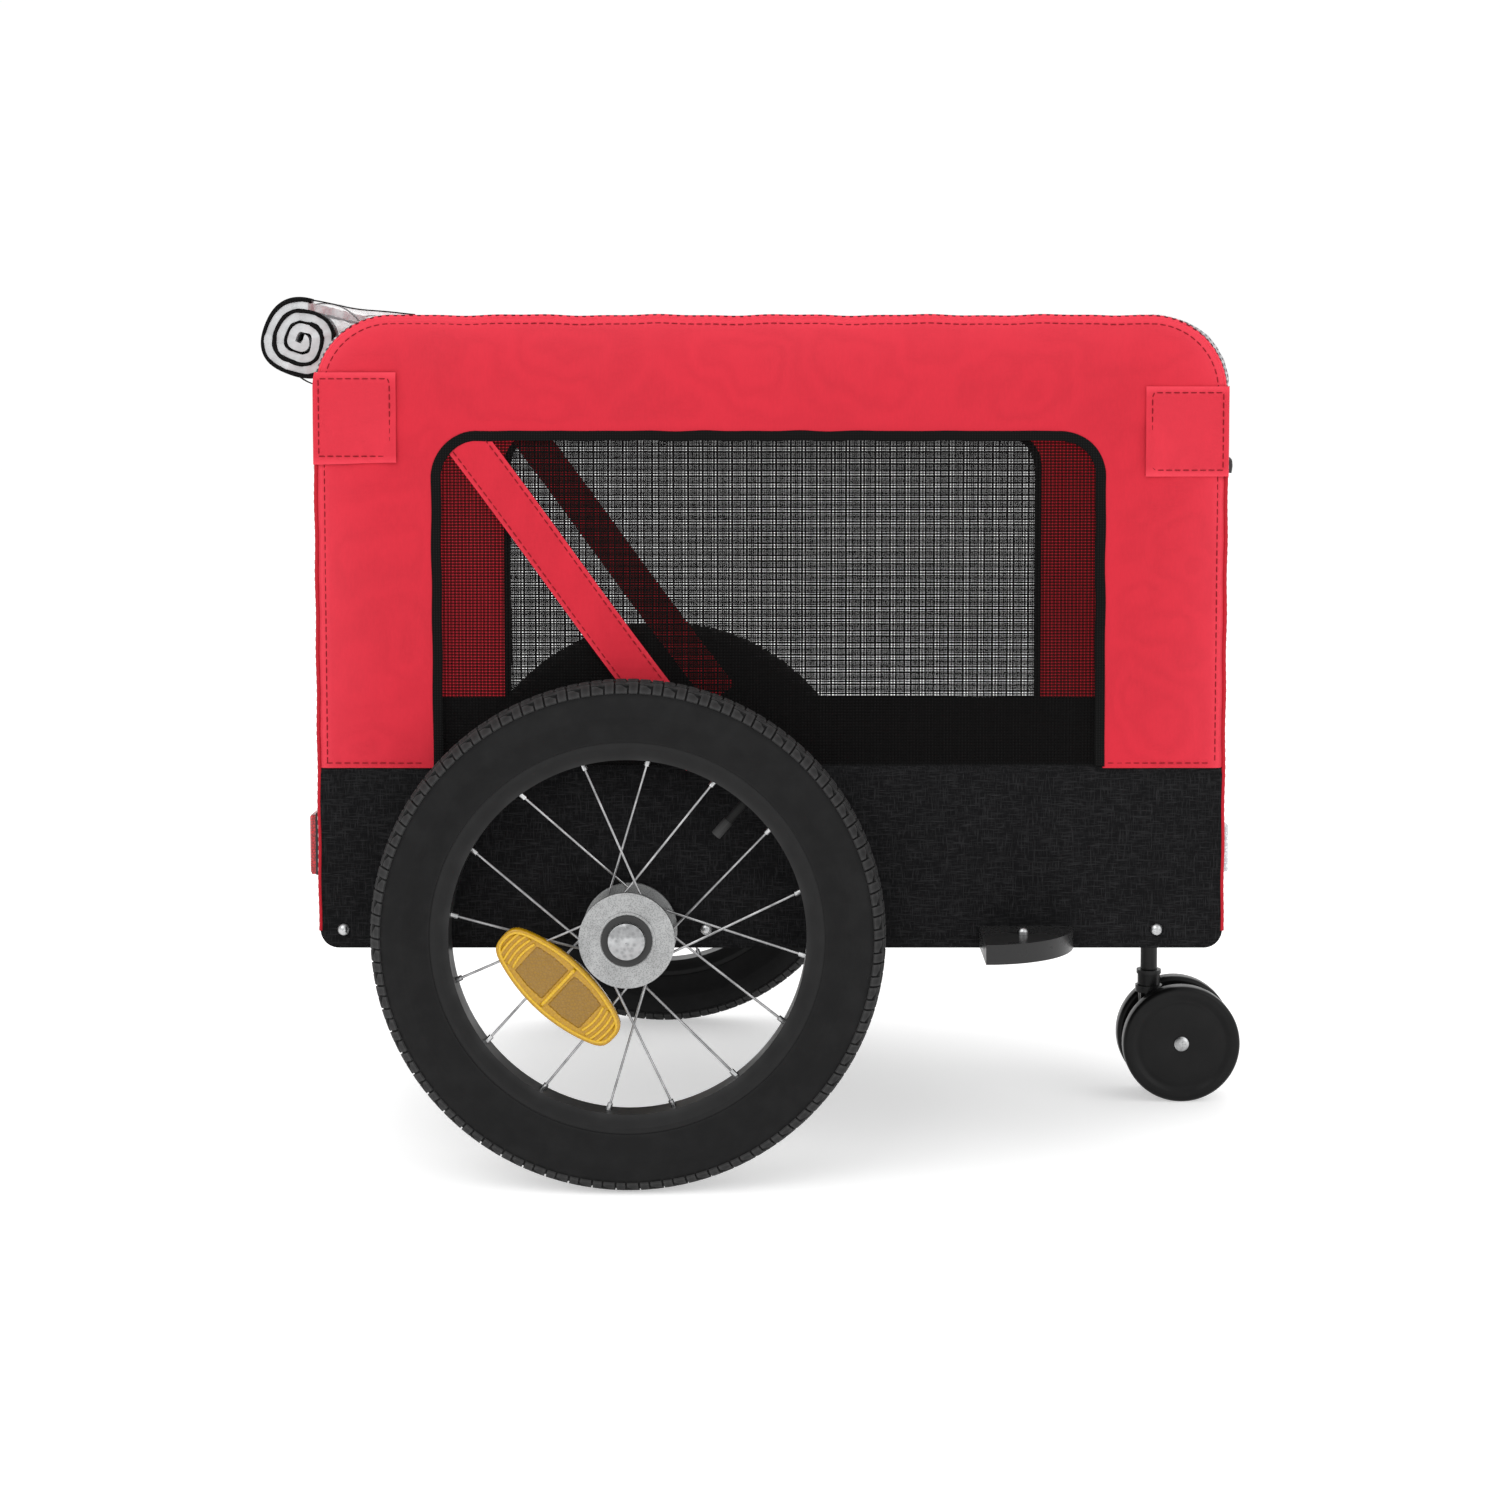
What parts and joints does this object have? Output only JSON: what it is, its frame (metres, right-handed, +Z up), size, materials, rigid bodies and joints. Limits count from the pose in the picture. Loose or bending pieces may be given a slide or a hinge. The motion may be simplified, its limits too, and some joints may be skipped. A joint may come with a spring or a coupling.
{
  "type": "bicycle trailer",
  "caption": "Fabric-cabin bicycle trailer for a pet or light load, with two spoked press-button wheels, a twin-wheel swivel castor, mesh side windows and a side hitch lug.",
  "frame": {"origin": "on the ground, under the middle of the cabin, which is the middle of the whole trailer to within 6 mm", "axes": "+X the way it travels, towards the castor; +Y the trailer's left; +Z up"},
  "size_m": [0.8255, 0.6387, 0.7045],
  "materials": {
    "frame_paint": "black powder coat, satin",
    "hoop_steel": "zinc-plated tube",
    "zinc_steel": "zinc plated, fine speckle",
    "chrome": "polished",
    "tyre_rubber": "matt black tread, satin sidewall",
    "black_rubber": "matt",
    "rim_paint": "black, semi-gloss",
    "black_plastic": "moulded, fine grain",
    "gloss_black": "gloss black",
    "amber_lens": "clear amber with moulded prisms",
    "red_lens": "clear red with moulded prisms",
    "clear_lens": "clear with moulded prisms",
    "red_cloth": "plain-weave oxford cloth, faint sheen",
    "black_cloth": "slubbed plain weave",
    "black_binding": "ribbed tape",
    "mesh_cloth": "open mesh",
    "clear_film": "soft clear film",
    "board": "hard board under black cloth"
  },
  "bodies": {
    "chassis": {"base_rail_right": "frame_paint", "base_rail_left": "frame_paint", "cross_tubes": "frame_paint", "axle_receivers": "frame_paint", "castor_bracket": "frame_paint", "castor_stem": "frame_paint", "hoop_right": "hoop_steel", "hoop_left": "hoop_steel", "spreader_bars": "hoop_steel", "wheel_axles": "zinc_steel", "frame_bolts": "chrome", "spreader_clips": "black_plastic", "reflector_housings": "black_plastic", "hitch_lug": "gloss_black", "rear_lenses": "red_lens", "front_lenses": "clear_lens", "roof_panel": "red_cloth", "side_panel_right": "red_cloth", "side_panel_left": "red_cloth", "front_panel": "red_cloth", "rear_panel": "red_cloth", "corner_tabs": "red_cloth", "window_straps": "red_cloth", "lower_panels": "black_cloth", "belly_panel": "black_cloth", "window_bindings": "black_binding", "cover_ties": "black_binding", "window_meshes": "mesh_cloth", "rolled_cover": "clear_film", "front_cover_band": "clear_film", "floor_board": "board"},
    "wheel_right": {"tyre_right": "tyre_rubber", "inner_tube_right": "black_rubber", "rim_right": "rim_paint", "spokes_right": "zinc_steel", "nipples_right": "zinc_steel", "hub_right": "zinc_steel", "bearings_right": "zinc_steel", "dust_cap_right": "black_plastic", "valve_right": "black_rubber", "reflector_right": "amber_lens"},
    "wheel_left": {"tyre_left": "tyre_rubber", "inner_tube_left": "black_rubber", "rim_left": "rim_paint", "spokes_left": "zinc_steel", "nipples_left": "zinc_steel", "hub_left": "zinc_steel", "bearings_left": "zinc_steel", "dust_cap_left": "black_plastic", "valve_left": "black_rubber", "reflector_left": "amber_lens"},
    "button_right": {"release_button_right": "chrome"},
    "button_left": {"release_button_left": "chrome"},
    "castor": {"castor_fork": "black_plastic", "castor_axle_bolt": "zinc_steel"},
    "castor_roller_right": {"castor_wheel_right": "black_plastic"},
    "castor_roller_left": {"castor_wheel_left": "black_plastic"},
    "pin": {"hitch_pin": "chrome"},
    "flap": {"front_flap": "clear_film"},
    "slider": {"zipper_slider": "black_plastic"}
  },
  "joints": [
    {"name": "wheel_right_spin", "type": "hinge", "parent": "chassis", "child": "wheel_right", "pos_m": [-0.112, -0.2855, 0.2025], "axis": [0, 1, 0], "continuous": true},
    {"name": "wheel_left_spin", "type": "hinge", "parent": "chassis", "child": "wheel_left", "pos_m": [-0.112, 0.2855, 0.2025], "axis": [0, 1, 0], "continuous": true},
    {"name": "button_right_press", "type": "slide", "parent": "chassis", "child": "button_right", "axis": [0, 1, 0], "range_m": [0, 0.003], "stiffness_N_per_m": 600, "springref_m": -0.003},
    {"name": "button_left_press", "type": "slide", "parent": "chassis", "child": "button_left", "axis": [0, -1, 0], "range_m": [0, 0.003], "stiffness_N_per_m": 600, "springref_m": -0.003},
    {"name": "castor_swivel", "type": "hinge", "parent": "chassis", "child": "castor", "pos_m": [0.338, 0, 0.104], "axis": [0, 0, 1], "continuous": true},
    {"name": "castor_wheel_right_spin", "type": "hinge", "parent": "castor", "child": "castor_roller_right", "pos_m": [0.364, -0.0215, 0.052], "axis": [0, 1, 0], "continuous": true},
    {"name": "castor_wheel_left_spin", "type": "hinge", "parent": "castor", "child": "castor_roller_left", "pos_m": [0.364, 0.0215, 0.052], "axis": [0, 1, 0], "continuous": true},
    {"name": "hitch_pin_lift", "type": "slide", "parent": "chassis", "child": "pin", "axis": [0, 0, 1], "range_m": [0, 0.016]},
    {"name": "front_flap_hinge", "type": "hinge", "parent": "chassis", "child": "flap", "pos_m": [0.3606, 0, 0.628], "axis": [0, -1, 0], "range_deg": [0, 110]},
    {"name": "zipper_slide", "type": "slide", "parent": "chassis", "child": "slider", "axis": [0, 0, -1], "range_m": [0, 0.27]}
  ]
}
